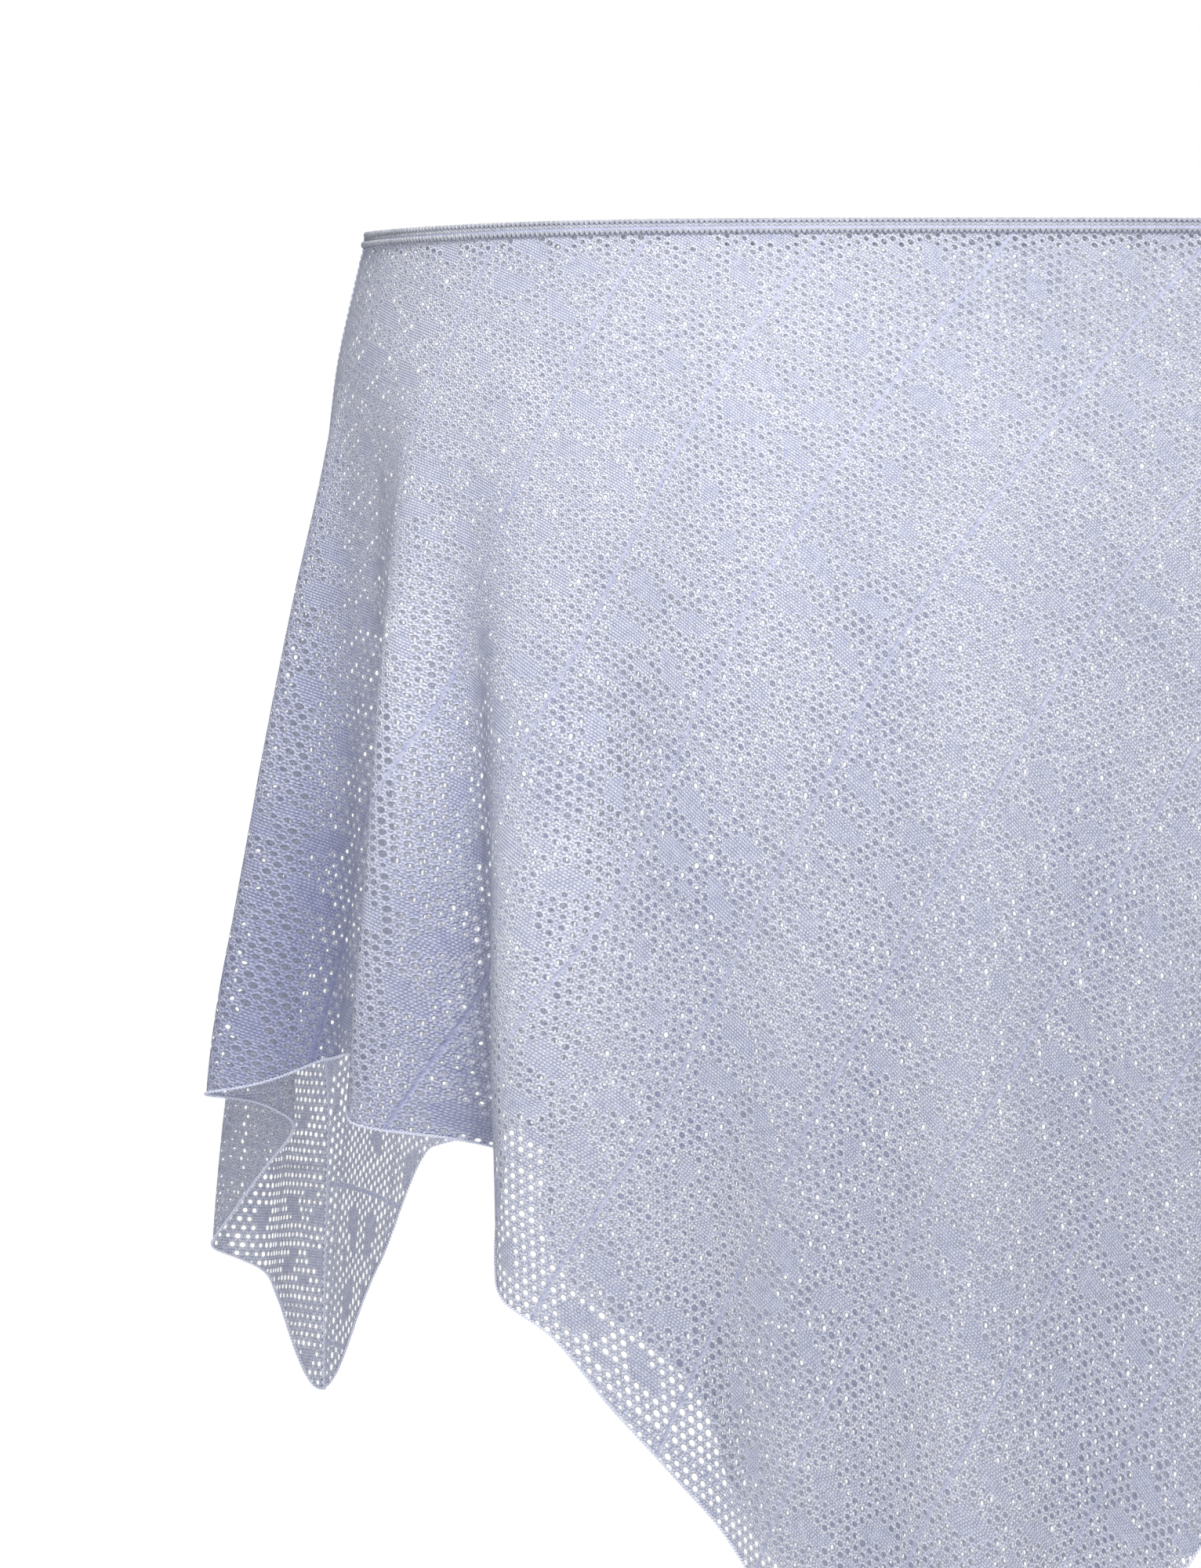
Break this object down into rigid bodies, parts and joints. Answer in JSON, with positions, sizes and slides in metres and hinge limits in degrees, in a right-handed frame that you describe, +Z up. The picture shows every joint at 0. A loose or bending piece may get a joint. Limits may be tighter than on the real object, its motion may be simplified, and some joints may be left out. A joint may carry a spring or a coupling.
{
  "type": "crochet poncho",
  "caption": "Square lace-knit poncho hanging in folds as worn off the shoulders, with a narrow neck trim and corners at the front, back and sides.",
  "frame": {"origin": "middle of the neckline, level with the top of the neck trim, where the wearer's upper arms hold the garment up", "axes": "+Z up, -Y to the front of the garment, -X to the arm on the left of the picture"},
  "size_m": [0.5126, 0.3174, 0.5415],
  "materials": {
    "lace_knit": "pale lavender-blue satin yarn, open lace knit",
    "trim_knit": "the same yarn, knitted close"
  },
  "bodies": {
    "root": {"front_panel": "lace_knit", "back_panel": "lace_knit", "neck_trim": "trim_knit"}
  },
  "joints": []
}
